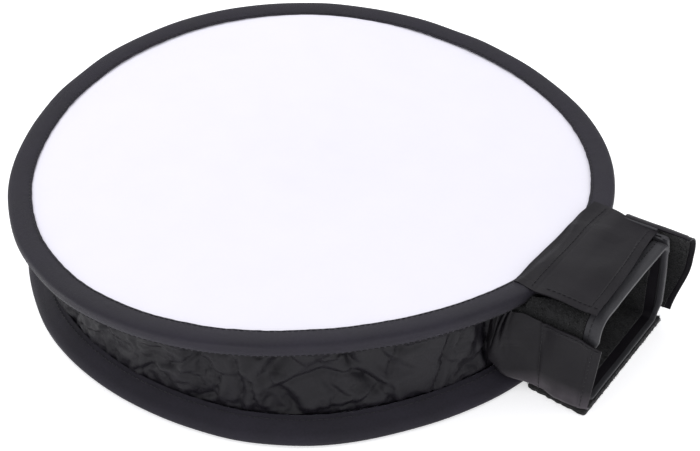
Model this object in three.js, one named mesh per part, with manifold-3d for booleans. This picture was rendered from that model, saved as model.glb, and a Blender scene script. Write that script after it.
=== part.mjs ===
// Round collapsible softbox for a hand-held camera flash, lying on its back panel.
// Two spring-steel hoops in fabric bindings hold a white front diffuser and a dark back panel apart on a
// cloth side wall lined with silver. A rectangular cloth neck leaves the side wall along +X and wraps
// the flash head with a hinged top flap, a far wing and a near wing that close on hook-and-loop tape.
// Units are millimetres, +Z is up (the way the light leaves) and the origin is on the table under the
// centre of the hoops. "near" is the neck's -Y side and "far" its +Y side.
import * as THREE from "three";
import { mergeVertices } from "three/addons/utils/BufferGeometryUtils.js";
import Module from "manifold-3d";

const wasm = await Module();
wasm.setup();

// ---- driving dimensions ----
const hoopRadius = 150; // outer edge of each hoop's binding
const depth = 53; // table to the top of the front binding
const bandWidth = 12; // binding, from its outer edge to its seam
const bandThickness = 5.2;
const gap = 0.3; // left between sewn faces
const ply = 0.8; // hemmed double nylon
const lining = 0.5; // silver-coated lining cloth
const pile = 0.7; // hook or loop tape
const swell = 3.4; // how far the front hoop stands out of round
const swellAt = THREE.MathUtils.degToRad(15); // direction of one of its three swells
const ringSegments = 96;

const neckHalfWidth = 36; // outer faces of the sleeve's side walls
const neckMouth = 178; // hoop axis to the end of the sleeve's cloth
const lipWidth = 6; // bound edge around the mouth
const gussetEnd = 154; // seam between the gussets and the sleeve's side walls
const throatHalf = 50; // the neck widens to this where it opens into the side wall
const flapFold = 148; // fold line of the top flap
const floorLevel = 5.5; // neck floor where it crosses the rear hoop
const mouthFloor = 4.2; // neck floor at the mouth
const roofLevel = 46.4; // neck roof where it passes under the front hoop
const mouthRoof = 51.4; // neck roof at the mouth
const padThickness = 2.8;
const flapLevel = 56.6; // top of the top flap, above the thick seam on the front binding

// ---- derived levels and radii ----
const seamRadius = hoopRadius - bandWidth;
const rearPlane = bandThickness / 2; // mid-height of the rear hoop
const frontPlane = depth - bandThickness / 2; // mid-height of the front hoop
const wallRadius = seamRadius - 2 * gap; // outer face of the side wall
const tuck = 3; // how far each panel reaches into its binding

// ---- materials ----
const material = (color, roughness, metalness = 0) =>
  new THREE.MeshStandardMaterial({ color, roughness, metalness });
const blackTape = material(0x2c2a31, 0.8);
const blackNylon = material(0x28272b, 0.6);
const blackPile = material(0x141416, 1);
const greyTrim = material(0x3f3f45, 0.8);
const whiteCloth = material(0xf4f2fb, 0.9);
const silverCloth = material(0xc9cbd0, 0.35, 0.6);
const springSteel = material(0x8d9298, 0.35, 1);
const crimpSteel = material(0xb4b8bd, 0.3, 1);

// ---- solid helpers ----
function toSolid(geometry) {
  const plain = new THREE.BufferGeometry().setAttribute(
    "position",
    (geometry.index ? geometry.toNonIndexed() : geometry).getAttribute("position"),
  );
  const merged = mergeVertices(plain, 1e-3);
  return new wasm.Manifold(
    new wasm.Mesh({
      numProp: 3,
      vertProperties: merged.attributes.position.array,
      triVerts: new Uint32Array(merged.index.array),
    }),
  );
}

function toGeometry(solid) {
  const mesh = solid.getMesh();
  return new THREE.BufferGeometry()
    .setAttribute("position", new THREE.BufferAttribute(new Float32Array(mesh.vertProperties), 3))
    .setIndex(new THREE.BufferAttribute(mesh.triVerts, 1));
}

const cut = (geometry, tool) => toGeometry(toSolid(geometry).subtract(toSolid(tool)));

const outline = (points) => new THREE.Shape(points.map(([x, y]) => new THREE.Vector2(x, y)));

const extrude = (shape, length) =>
  new THREE.ExtrudeGeometry(shape, { depth: length, bevelEnabled: false });

// A box between two corners.
function block([x0, y0, z0], [x1, y1, z1]) {
  const middle = [(x0 + x1) / 2, (y0 + y1) / 2, (z0 + z1) / 2];
  return new THREE.BoxGeometry(x1 - x0, y1 - y0, z1 - z0).translate(...middle);
}

// A closed (radius, z) profile turned about Z.
const turned = (points) =>
  new THREE.LatheGeometry(
    points.map(([r, z]) => new THREE.Vector2(r, z)),
    ringSegments,
  ).rotateX(Math.PI / 2);

// An (x, z) outline carried across from y0 to y1.
const acrossY = (points, y0, y1) =>
  extrude(outline(points), y1 - y0)
    .rotateX(Math.PI / 2)
    .translate(0, y1, 0);

// A (y, z) shape carried along X from x0 to x1.
const alongX = (shape, x0, x1) =>
  extrude(shape, x1 - x0)
    .applyMatrix4(
      new THREE.Matrix4().makeBasis(
        new THREE.Vector3(0, 1, 0),
        new THREE.Vector3(0, 0, 1),
        new THREE.Vector3(1, 0, 0),
      ),
    )
    .translate(x0, 0, 0);

// Draws a round piece out into three shallow swells, fully at the front hoop and not at all at the rear.
function outOfRound(geometry, heightOf = (z) => z) {
  const at = geometry.getAttribute("position");
  for (let i = 0; i < at.count; i++) {
    const radius = Math.hypot(at.getX(i), at.getY(i));
    const angle = Math.atan2(at.getY(i), at.getX(i));
    const share = THREE.MathUtils.clamp(heightOf(at.getZ(i)) / depth, 0, 1);
    const reach = radius + swell * share * Math.cos(3 * (angle - swellAt)) * (radius / hoopRadius);
    at.setXY(i, reach * Math.cos(angle), reach * Math.sin(angle));
  }
  return geometry;
}

// The outline of a strip between two offsets from a curve, leaving out its first few steps.
const stripSteps = 14;
function strip(curve, near, far, skipped = 0) {
  const side = (offset) =>
    Array.from({ length: stripSteps + 1 - skipped }, (_, i) => {
      const t = (i + skipped) / stripSteps;
      const tangent = curve.getTangent(t);
      const point = curve.getPoint(t);
      return [point.x + tangent.y * offset, point.y - tangent.x * offset];
    });
  return outline([...side(near), ...side(far).reverse()]);
}

const model = new THREE.Group();

function add(group, name, geometry, finish, position = [0, 0, 0]) {
  const mesh = new THREE.Mesh(geometry, finish);
  mesh.name = name;
  mesh.position.set(...position);
  group.add(mesh);
  return mesh;
}

// ---- hoops: spring band, crimped ferrule and folded fabric binding ----
const bandInner = hoopRadius - 4.2;
const bandOuter = hoopRadius - 3.2;
const bandHalfHeight = 1.7;
const ferruleLength = 12;
const slit = 0.4; // half the height of the binding's open seam
const channelHalf = 2.1; // half the height of the hoop's channel

function bandRing(clearance) {
  const [r0, r1] = [bandInner - clearance, bandOuter + clearance];
  const z = bandHalfHeight + clearance;
  return turned([
    [r0, -z],
    [r1, -z],
    [r1, z],
    [r0, z],
    [r0, -z],
  ]);
}

// Folded tape: rounded over the hoop, thinning to two legs at the seam, with the slit left open.
function bindingRing() {
  const half = bandThickness / 2;
  const upper = [
    [seamRadius, slit],
    [bandInner - 1.6, slit],
    [bandInner - 1, channelHalf],
    [bandOuter + 0.9, channelHalf],
    [bandOuter + 1.6, 0],
  ];
  const outside = [
    [hoopRadius, 0],
    [hoopRadius - 0.4, half * 0.6],
    [hoopRadius - 1.9, half],
    [hoopRadius - 7, half],
    [seamRadius, half * 0.45],
  ];
  const mirror = (points) => points.map(([r, z]) => [r, -z]);
  const section = [
    ...upper,
    ...mirror(upper.slice(0, 4)).reverse(),
    ...mirror(outside.slice(1)).reverse(),
    ...outside,
    upper[0],
  ];
  return turned(section);
}

function hoopParts(group, prefix, shape) {
  const crimp = block(
    [-bandOuter - 0.4, -ferruleLength / 2, -channelHalf + 0.1],
    [-bandInner + 0.4, ferruleLength / 2, channelHalf - 0.1],
  );
  add(group, `${prefix}_hoop`, shape(bandRing(0)), springSteel);
  add(group, `${prefix}_hoop_ferrule`, cut(shape(crimp), shape(bandRing(0.1))), crimpSteel);
  add(group, `${prefix}_binding`, shape(bindingRing()), blackTape);
}

// ---- rear assembly: hoop, back panel and its silver lining ----
const rear = new THREE.Group();
model.add(rear);

const rearHoop = new THREE.Group();
rearHoop.position.z = rearPlane;
rear.add(rearHoop);
hoopParts(rearHoop, "rear", (geometry) => outOfRound(geometry, (z) => z + rearPlane));

// The panel is flat on the table in the middle and rises to the hoop's mid-height at its edge.
const dishFlat = seamRadius - 18;
const dishRim = seamRadius - 4;
const dish = (level, thickness, rimRadius) => [
  [0, level],
  [dishFlat, level],
  [dishRim, level + rearPlane - 0.3],
  [rimRadius, level + rearPlane - 0.3],
  [rimRadius, level + rearPlane - 0.3 + thickness],
  [dishRim, level + rearPlane - 0.3 + thickness],
  [dishFlat, level + thickness],
  [0, level + thickness],
];
const panelThickness = 0.6;
add(rear, "rear_panel", turned(dish(0, panelThickness, seamRadius + tuck)), blackNylon);
const reflectorLevel = panelThickness + gap;
const reflectorRim = wallRadius - ply - 2 * gap - lining;
add(rear, "rear_reflector", turned(dish(reflectorLevel, lining, reflectorRim - gap)), silverCloth);

// ---- side wall and its silver lining, each with the window that the neck opens into ----
const wallBottom = rearPlane + panelThickness + gap * 0.7;
const wallTop = frontPlane - 0.6;
function wallRing(outer, thickness, bottom, top) {
  const ring = turned([
    [outer - thickness, bottom],
    [outer, bottom],
    [outer, top],
    [outer - thickness, top],
    [outer - thickness, bottom],
  ]);
  const window = block([100, -throatHalf, 6.2], [seamRadius + 12, throatHalf, 45.4]);
  return cut(outOfRound(ring), window);
}
add(rear, "side_wall", wallRing(wallRadius, ply, wallBottom, wallTop), blackNylon);
add(rear, "side_reflector", wallRing(wallRadius - ply - gap, lining, wallBottom, wallTop), silverCloth);

// ---- front assembly: hoop and diffuser ----
const front = new THREE.Group();
model.add(front);
const frontHoop = new THREE.Group();
frontHoop.position.z = frontPlane;
front.add(frontHoop);
const atFront = (geometry) => outOfRound(geometry, () => depth);
hoopParts(frontHoop, "front", atFront);
const diffuserThickness = 0.6;
add(
  frontHoop,
  "diffuser",
  atFront(
    turned([
      [0, -diffuserThickness / 2],
      [seamRadius + tuck, -diffuserThickness / 2],
      [seamRadius + tuck, diffuserThickness / 2],
      [0, diffuserThickness / 2],
    ]),
  ),
  whiteCloth,
);

// ---- neck sleeve: floor and side walls on the rear hoop, roof on the front hoop ----
const hoopClear = hoopRadius + 4; // where the floor and roof leave the hoops
const wallClearance = turned([
  [0, -10],
  [wallRadius + 1, -10],
  [wallRadius + 1, depth + 10],
  [0, depth + 10],
]);
outOfRound(wallClearance);

// A sloping slab from x0 to x1, following the floor or the roof at a height above it.
function neckSlab(levelIn, levelOut, offset, thickness, x0, x1, halfWidth) {
  const low = (z) => z + offset;
  return acrossY(
    [
      [x0, low(levelIn)],
      [hoopClear, low(levelIn)],
      [hoopClear + 10, low(levelOut)],
      [x1, low(levelOut)],
      [x1, low(levelOut) + thickness],
      [hoopClear + 10, low(levelOut) + thickness],
      [hoopClear, low(levelIn) + thickness],
      [x0, low(levelIn) + thickness],
    ],
    -halfWidth,
    halfWidth,
  );
}
const slabHalf = neckHalfWidth - ply - gap; // the floor and roof sit between the side walls
const throatRoot = 118; // x where the gussets' lines are drawn from, inside the side wall
const throatRootHalf = throatHalf + 6.6;

// The floor or roof cloth: a slab widened to meet the gussets and ended at the side wall.
function neckCloth(levelIn, levelOut) {
  const side = (s) => [
    [throatRoot, s * (throatRootHalf - ply - gap)],
    [gussetEnd, s * slabHalf],
    [neckMouth, s * slabHalf],
  ];
  const plan = extrude(outline([...side(-1), ...side(1).reverse()]), depth + 10);
  const slab = neckSlab(levelIn, levelOut, 0, ply, throatRoot, neckMouth, throatRootHalf);
  return toGeometry(toSolid(slab).intersect(toSolid(plan)).subtract(toSolid(wallClearance)));
}
const lipStart = neckMouth - lipWidth + 2; // the lip's trim covers the cloth from here
const lipEnd = neckMouth + 4;
const lipHalf = 1.1;
const liningEnd = lipStart - 0.6;
const liningStart = hoopClear + 1;
const innerStep = ply + 0.1; // from a wall's face to its lining
add(rear, "neck_floor", neckCloth(floorLevel, mouthFloor), blackNylon);
add(
  rear,
  "neck_floor_lining",
  neckSlab(floorLevel, mouthFloor, innerStep, pile, hoopClear - 12, liningEnd, slabHalf - 1.4),
  blackPile,
);
add(front, "neck_roof", neckCloth(roofLevel, mouthRoof), blackNylon);
add(
  front,
  "neck_roof_lining",
  neckSlab(roofLevel, mouthRoof, -pile - 0.1, pile, hoopClear - 12, liningEnd, slabHalf - 1.4),
  blackPile,
);

// Side walls run between the floor and the roof; side is -1 for near and +1 for far.
const outwards = (side, inner, thickness) =>
  side < 0 ? [-inner - thickness, -inner] : [inner, inner + thickness];
const wallOutline = (x0, x1, inset) => [
  [x0, floorLevel + inset],
  [x1, mouthFloor + inset],
  [x1, mouthRoof - inset],
  [hoopClear + 10, mouthRoof - inset],
  [x0, roofLevel - inset + 1],
];
for (const [side, label] of [
  [-1, "near"],
  [1, "far"],
]) {
  const wallInner = neckHalfWidth - ply;
  const wall = acrossY(wallOutline(gussetEnd, neckMouth, 0), ...outwards(side, wallInner, ply));
  add(rear, `neck_${label}_wall`, wall, blackNylon);

  const padding = acrossY(
    wallOutline(liningStart, liningEnd, 2.6),
    ...outwards(side, wallInner - 0.1 - pile, pile),
  );
  add(rear, `neck_${label}_lining`, padding, blackPile);

  const [patchBottom, patchTop] = side < 0 ? [18, 49.5] : [8, 36];
  const patch = acrossY(
    [
      [gussetEnd + 1, patchBottom],
      [lipStart - gap, patchBottom],
      [lipStart - gap, patchTop],
      [gussetEnd + 1, Math.min(patchTop, roofLevel)],
    ],
    ...outwards(side, neckHalfWidth + 0.1, pile),
  );
  add(rear, `${label}_loop_patch`, patch, blackPile);

  // The gusset flares from the sleeve's side wall back to the softbox's side wall.
  const gusset = extrude(
    outline([
      [throatRoot, side * throatRootHalf],
      [gussetEnd - gap, side * neckHalfWidth],
      [gussetEnd - gap, side * (neckHalfWidth - ply)],
      [throatRoot, side * (throatRootHalf - ply)],
    ]),
    roofLevel - floorLevel,
  ).translate(0, 0, floorLevel);
  add(rear, `${label}_gusset`, cut(gusset, wallClearance), blackNylon);
}

// ---- bound lip: a folded trim pushed over the sleeve's four edges at the mouth ----
// A U section open towards -X around an edge whose middle is at level.
const lipSection = (level) => [
  [lipStart, level - lipHalf],
  [lipEnd, level - lipHalf],
  [lipEnd, level + lipHalf],
  [lipStart, level + lipHalf],
  [lipStart, level + ply / 2 + 0.15],
  [neckMouth + 0.2, level + ply / 2 + 0.15],
  [neckMouth + 0.2, level - ply / 2 - 0.15],
  [lipStart, level - ply / 2 - 0.15],
];
const lipSpan = neckHalfWidth - ply - 1.2;
add(rear, "lip_floor", acrossY(lipSection(mouthFloor + ply / 2), -lipSpan, lipSpan), greyTrim);
add(front, "lip_roof", acrossY(lipSection(mouthRoof + ply / 2), -lipSpan, lipSpan), greyTrim);
for (const [side, label] of [
  [-1, "near"],
  [1, "far"],
]) {
  const middle = side * (neckHalfWidth - ply / 2);
  const height = mouthRoof - mouthFloor - ply - 2 * gap - 0.2;
  const section = outline(lipSection(0));
  const trim = extrude(section, height).translate(0, middle, mouthFloor + ply + gap + 0.1);
  add(rear, `lip_${label}`, trim, greyTrim);
}

// ---- loop pad sewn under the neck floor: what the neck rests on ----
add(rear, "floor_loop_pad", block([hoopRadius + 4.5, -41, 0], [181, 41, padThickness]), blackPile);

// ---- top flap: anchored on the front hoop's binding, folding up at the stitched line ----
// Both are drawn in plan; the far side is a little wider at the hoop and a little shorter at the mouth.
const flapNear = -neckHalfWidth + 0.2;
const flapFar = neckHalfWidth;
const anchorBase = depth + 0.4;
const anchorPlan = outline([
  [seamRadius - 3, flapNear],
  [flapFold - gap, flapNear],
  [flapFold - gap, flapFar + 2],
  [seamRadius + 1, flapFar + 4],
]);
const anchor = extrude(anchorPlan, flapLevel - anchorBase).translate(0, 0, anchorBase);
add(front, "flap_anchor", anchor, blackNylon);
const topFlap = new THREE.Group(); // its origin is on the fold line
topFlap.position.set(flapFold, 0, flapLevel);
model.add(topFlap);
const flapLength = 30.5;
const flapPlan = outline([
  [0.15, flapNear],
  [flapLength, flapNear],
  [flapLength - 3.5, flapFar],
  [0.15, flapFar],
]);
add(topFlap, "top_flap_panel", extrude(flapPlan, 1).translate(0, 0, -1), blackNylon);
const hookTop = -1.1;
add(
  topFlap,
  "top_flap_hook",
  block([11, flapNear + 0.4, hookTop - pile], [flapLength - 2, flapNear + 15.8, hookTop]),
  blackPile,
);

// ---- far wing: hangs from the flap's far edge, bows out and comes back to the far wall ----
const farFold = new THREE.Group(); // its origin is on the wing's fold line
farFold.position.set(0, neckHalfWidth + 0.9, -0.5);
topFlap.add(farFold);
const wingStart = 9;
const wingReach = 43.5; // the wing stands past the mouth
const hemRadius = 0.6;
const hemSection = new THREE.Shape(
  new THREE.EllipseCurve(0, 0, hemRadius, hemRadius).getPoints(12).slice(0, -1),
);
add(farFold, "far_fold_hem", alongX(hemSection, wingStart, flapLength - 4), greyTrim);
const wingCurve = new THREE.CubicBezierCurve(
  new THREE.Vector2(1.1, 0.2),
  new THREE.Vector2(11.5, 1.8),
  new THREE.Vector2(19, -30),
  new THREE.Vector2(6.6, -49.5),
);
// What is trimmed off the wing's mouth edge, which slants back towards its foot.
const wingTrim = (inset) =>
  acrossY(
    [
      [wingReach - inset, 2],
      [wingReach - 2.5 - inset, -27],
      [wingReach - 7.5 - inset, -52],
      [wingReach + 2, -52],
      [wingReach + 2, 2],
    ],
    -2,
    30,
  );
const wingPanel = alongX(strip(wingCurve, -0.5, 0.5), wingStart, wingReach + 1);
add(farFold, "far_wing_panel", cut(wingPanel, wingTrim(0)), blackNylon);
const wingHook = alongX(strip(wingCurve, 0.65, 0.65 + pile, 1), wingStart + 1, wingReach + 1);
add(farFold, "far_wing_hook", cut(wingHook, wingTrim(1)), blackPile);

// ---- near wing: stands on its fold at the foot of the near wall ----
const nearFold = new THREE.Group(); // its origin is on the wing's fold line
nearFold.position.set(gussetEnd + gap, -neckHalfWidth - 2.6, 4.6);
model.add(nearFold);
const nearWingHeight = 38.5;
const nearWingLength = 29;
add(
  nearFold,
  "near_wing_panel",
  acrossY(
    [
      [0, -0.5],
      [nearWingLength, 1],
      [nearWingLength, nearWingHeight - 3.5],
      [nearWingLength - 12, nearWingHeight],
      [0, nearWingHeight],
    ],
    -0.5,
    0.5,
  ),
  blackNylon,
);
add(nearFold, "near_wing_hook", block([2, 0.6, 14], [nearWingLength - 5, 0.6 + pile, 34]), blackPile);

export default model;
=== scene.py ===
"""Looks for the round flash softbox: every cloth, tape, pile and stitch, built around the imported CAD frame.

Shapes are worked out in millimetres in the part's own frame and turned into metres when a mesh is made.
Angles run from +X, the neck's direction, towards +Y, the side of the far wing.
"""
import math

import bmesh
import bpy
import numpy as np
from mathutils import Matrix, Vector


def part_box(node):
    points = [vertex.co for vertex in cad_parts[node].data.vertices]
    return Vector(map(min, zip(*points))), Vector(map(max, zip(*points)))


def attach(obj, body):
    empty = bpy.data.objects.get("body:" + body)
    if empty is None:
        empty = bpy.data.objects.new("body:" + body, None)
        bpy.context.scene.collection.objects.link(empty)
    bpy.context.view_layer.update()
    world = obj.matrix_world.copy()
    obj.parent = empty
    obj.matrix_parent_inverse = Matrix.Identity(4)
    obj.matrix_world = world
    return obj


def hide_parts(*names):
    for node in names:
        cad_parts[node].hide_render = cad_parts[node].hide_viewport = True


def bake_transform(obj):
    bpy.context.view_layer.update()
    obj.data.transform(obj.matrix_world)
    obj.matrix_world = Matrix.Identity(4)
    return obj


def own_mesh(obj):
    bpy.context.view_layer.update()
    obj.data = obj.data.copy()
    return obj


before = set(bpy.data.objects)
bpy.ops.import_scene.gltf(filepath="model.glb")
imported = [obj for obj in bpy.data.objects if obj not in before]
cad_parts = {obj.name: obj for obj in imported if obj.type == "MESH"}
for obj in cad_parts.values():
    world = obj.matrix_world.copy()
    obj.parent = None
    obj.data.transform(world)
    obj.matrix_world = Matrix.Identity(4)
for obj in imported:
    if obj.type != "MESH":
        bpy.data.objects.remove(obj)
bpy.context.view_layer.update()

# ---- driving dimensions, read off the frame where it has them ----
MM = 0.001


def span(node, axis):
    """Lowest and highest coordinate of a CAD node along one axis, in millimetres."""
    low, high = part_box(node)
    return low[axis] / MM, high[axis] / MM


HOOP = 150.0  # outer edge of both bindings
DEPTH = span("front_binding", 2)[1]
TAPE_HALF = (span("rear_binding", 2)[1] - span("rear_binding", 2)[0]) / 2
REAR = TAPE_HALF  # mid-height of the rear hoop
FRONT = DEPTH - TAPE_HALF  # mid-height of the front hoop
SEAM = HOOP - 12  # inner edge of both bindings
WALL = span("side_wall", 0)[0] * -1 - 0.2  # radius of the side wall's middle
# Each hoop stands a little out of round: (amplitude, waves in a turn, angle of the first crest).
# These waves and the saddle come from fits by other scripts. The rear ones were then moved a little.
FRONT_WAVES = ((0.74, 1, 126), (1.24, 2, 36.2), (3.25, 3, 15.8))
REAR_WAVES = ((-0.6, 0, 0), (2.1, 1, 26), (0.5, 2, -46), (1.0, 3, 50))
KINK, KINK_AT, KINK_SHARPNESS = 2.4, math.radians(-61), 27  # and the rear hoop has one short bulge
SADDLE, SADDLE_AT, SADDLE_RISE = 1.83, math.radians(-40.3), 1.1  # the front hoop also stands out of flat
FLOOR = span("neck_floor", 2)[0] + 0.4  # the sleeve's floor at the mouth
ROOF = span("neck_roof", 2)[1] - 0.4
SLEEVE = 35.6  # half the sleeve's width, to the middle of its cloth
MOUTH = span("neck_near_wall", 0)[1]
LIP_END = span("lip_near", 0)[1]
FLAP_FOLD = span("top_flap_panel", 0)[0] - 0.15
FLAP_TOP = span("top_flap_panel", 2)[1]
FLAP_END = span("top_flap_panel", 0)[1]
WING_FOOT = span("near_wing_panel", 2)[0]
WING_START = span("near_wing_panel", 0)[0]
WING_END = span("near_wing_panel", 0)[1]
WING_SIDE = span("near_wing_panel", 1)[0] + 0.5


def smoothstep(x, low, high):
    """0 below low and 1 above high, with a smooth rise between."""
    t = np.clip((x - low) / (high - low), 0, 1)
    return t * t * (3 - 2 * t)


# ---- smooth random fields and curves ----
def ripple(u, v, wavelength, seed, waves=7):
    """A smooth random height between about -1 and 1, from sine waves in random directions."""
    draw = np.random.default_rng(seed)
    total = np.zeros(np.broadcast(u, v).shape)
    for _ in range(waves):
        angle, phase = draw.uniform(0, 2 * math.pi, 2)
        pitch = wavelength * draw.uniform(0.7, 1.5)
        total += np.sin((u * math.cos(angle) + v * math.sin(angle)) * 2 * math.pi / pitch + phase)
    return total / math.sqrt(waves)


def facets(u, v, size, seed):
    """Random heights joined by flat triangles, like crumpled cloth seen from far enough away."""
    table = np.random.default_rng(seed).uniform(-1, 1, 4099)
    u = u + 0.55 * size * ripple(u, v, 3.1 * size, seed + 1)
    v = v + 0.55 * size * ripple(u, v, 3.7 * size, seed + 2)
    skew = (u + v) / size * 0.366
    p, q = u / size + skew, v / size + skew
    i, j = np.floor(p).astype(int), np.floor(q).astype(int)
    p, q = p - i, q - j
    height = lambda a, b: table[((i + a) * 157 + (j + b) * 1033) % 4099]
    first = height(0, 0) * (1 - p) + height(1, 0) * (p - q) + height(1, 1) * q
    second = height(0, 0) * (1 - q) + height(0, 1) * (q - p) + height(1, 1) * p
    return np.where(p > q, first, second)


def spline(points, count):
    """A smooth curve of count points through a few chosen ones."""
    p = np.array(points, float)
    p = np.vstack([2 * p[0] - p[1], p, 2 * p[-1] - p[-2]])
    t = np.linspace(0, len(points) - 1, count)
    k = np.minimum(t.astype(int), len(points) - 2)
    f = (t - k)[:, None]
    a, b, c, d = p[k], p[k + 1], p[k + 2], p[k + 3]
    return 0.5 * (2 * b + (c - a) * f + (2 * a - 5 * b + 4 * c - d) * f**2 + (3 * b - 3 * c + d - a) * f**3)


def rounded_loop(corners, radii, count):
    """A closed loop of count even points round a polygon with rounded corners."""
    points = []
    for k, corner in enumerate(corners):
        here = np.array(corner, float)
        before = np.array(corners[k - 1], float) - here
        after = np.array(corners[(k + 1) % len(corners)], float) - here
        before, after = before / np.linalg.norm(before), after / np.linalg.norm(after)
        for t in np.linspace(0, 1, 9):
            points.append(here + radii[k] * ((1 - t) ** 2 * before + t**2 * after))
    return resample(np.array(points + points[:1]), count + 1)[:-1]


def resample(points, count):
    """The same line with count evenly spaced points."""
    run = np.concatenate([[0], np.cumsum(np.linalg.norm(np.diff(points, axis=0), axis=1))])
    at = np.linspace(0, run[-1], count)
    return np.stack([np.interp(at, run, points[:, k]) for k in range(points.shape[1])], -1)


def waves(theta, terms):
    """How far a hoop stands out of round at an angle."""
    return sum(size * np.cos(count * (theta - math.radians(crest))) for size, count, crest in terms)


def saddle(theta):
    """How far the front hoop stands out of flat at an angle."""
    return SADDLE_RISE + SADDLE * np.cos(2 * (theta - SADDLE_AT))


def around(theta, radius, height, share=None):
    """A point by angle, radius and height; share is 0 for the rear hoop's shape and 1 for the front's."""
    share = np.clip((height - REAR) / (FRONT - REAR), 0, 1) if share is None else share
    kink = KINK * np.exp(KINK_SHARPNESS * (np.cos(theta - KINK_AT) - 1))
    bulge = share * waves(theta, FRONT_WAVES) + (1 - share) * (waves(theta, REAR_WAVES) + kink)
    reach = radius * (1 + bulge / HOOP)
    level = height + share * saddle(theta)
    return np.stack(np.broadcast_arrays(reach * np.cos(theta), reach * np.sin(theta), level), -1)


# ---- mesh helpers ----
def grid_faces(rows, columns, wrap_rows=False, wrap_columns=False):
    """The quads that join a grid's points; a wrapped direction closes on itself."""
    down, across = np.arange(rows - (not wrap_rows)), np.arange(columns - (not wrap_columns))
    i, j = np.meshgrid(down, across, indexing="ij")
    point = lambda a, b: (a % rows) * columns + b % columns
    quads = np.stack([point(i, j), point(i + 1, j), point(i + 1, j + 1), point(i, j + 1)], -1)
    return quads.reshape(-1, 4)


def grid_normals(grid, wrap):
    """Unit normals of a grid of points; wrap says that the last row meets the first."""
    across = np.roll(grid, -1, 0) - np.roll(grid, 1, 0) if wrap else np.gradient(grid, axis=0)
    normal = np.cross(across, np.gradient(grid, axis=1))
    size = np.linalg.norm(normal, axis=-1, keepdims=True)
    normal = normal / np.maximum(size, 1e-9)
    return np.where(size < 1e-6, np.roll(normal, 1, 1), normal)


def new_object(name, points, faces, finish):
    """An object in metres from points in millimetres, smooth but for its sharp edges."""
    mesh = bpy.data.meshes.new(name)
    corners = faces if isinstance(faces, list) else faces.tolist()
    mesh.from_pydata((np.asarray(points) * MM).tolist(), [], corners)
    mesh.update()
    mesh.shade_smooth()
    mesh.set_sharp_from_angle(angle=math.radians(55))
    mesh.materials.append(finish)
    made = bpy.data.objects.new(name, mesh)
    bpy.context.scene.collection.objects.link(made)
    return made


def weld(made):
    """Joins points that lie on each other, such as the middle of a round grid."""
    whole = bmesh.new()
    whole.from_mesh(made.data)
    bmesh.ops.remove_doubles(whole, verts=whole.verts, dist=0.002 * MM)
    whole.to_mesh(made.data)
    whole.free()


def cloth(name, grid, thickness, finish, wrap=False, merge=False):
    """A closed thin sheet round a grid of middle points, with a UV map in metres along the two threads."""
    rows, columns = grid.shape[:2]
    half = grid_normals(grid, wrap) * thickness / 2
    points = np.concatenate([(grid + half).reshape(-1, 3), (grid - half).reshape(-1, 3)])
    under = rows * columns
    i, j = np.meshgrid(np.arange(rows if wrap else rows - 1), np.arange(columns - 1), indexing="ij")
    corner = lambda di, dj: np.stack([i + di, j + dj], -1).reshape(-1, 2)
    a, b, c, d = corner(0, 0), corner(1, 0), corner(1, 1), corner(0, 1)
    index = lambda at: (at[:, 0] % rows) * columns + at[:, 1]
    quads, places = [], []

    def lay(corners, offsets, keep=slice(None)):
        quads.append(np.stack([index(p[keep]) + o * under for p, o in zip(corners, offsets)], -1))
        places.append(np.stack([p[keep] for p in corners], 1))

    lay((a, b, c, d), (0, 0, 0, 0))
    lay((d, c, b, a), (1, 1, 1, 1))
    first, last = a[:, 1] == 0, a[:, 1] == columns - 2
    lay((b, a, a, b), (0, 0, 1, 1), first)
    lay((d, c, c, d), (0, 0, 1, 1), last)
    if not wrap:
        lay((a, d, d, a), (0, 0, 1, 1), a[:, 0] == 0)
        lay((c, b, b, c), (0, 0, 1, 1), a[:, 0] == rows - 2)
    made = new_object(name, points, np.concatenate(quads), finish)
    place = np.concatenate(places).reshape(-1, 2)
    closed = np.concatenate([grid, grid[:1]]) if wrap else grid
    run = lambda steps: np.concatenate([[0], np.cumsum(steps)]) * MM
    along = run(np.linalg.norm(np.diff(closed, axis=0), axis=-1).mean(1))
    down = run(np.linalg.norm(np.diff(closed, axis=1), axis=-1).mean(0))
    uv = np.stack([along[place[:, 0]], down[place[:, 1]]], -1)
    made.data.uv_layers.new(name="cloth").data.foreach_set("uv", uv.astype(np.float32).ravel())
    if merge:
        weld(made)
    return made


def tube_template(path, radius, sides=5):
    """Points and faces of a short closed tube with tapered ends along a path."""
    path = np.array(path, float)
    forward = np.gradient(path, axis=0)
    forward /= np.linalg.norm(forward, axis=1, keepdims=True)
    side = np.array([0.0, 1.0, 0.0])
    taper = np.sin(np.linspace(0.25, math.pi - 0.25, len(path))) ** 0.35
    points = []
    for at, ahead, wide in zip(path, forward, taper):
        lift = np.cross(ahead, side)
        for k in range(sides):
            turn = 2 * math.pi * k / sides
            points.append(at + radius * wide * (math.cos(turn) * side + math.sin(turn) * lift))
    faces = []
    for ring in range(len(path) - 1):
        for k in range(sides):
            low, high = ring * sides + k, ring * sides + (k + 1) % sides
            faces.append([low, low + sides, high + sides, high])
    faces.append(list(range(sides)))
    faces.append([(len(path) - 1) * sides + k for k in reversed(range(sides))])
    return np.array(points), faces


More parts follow.
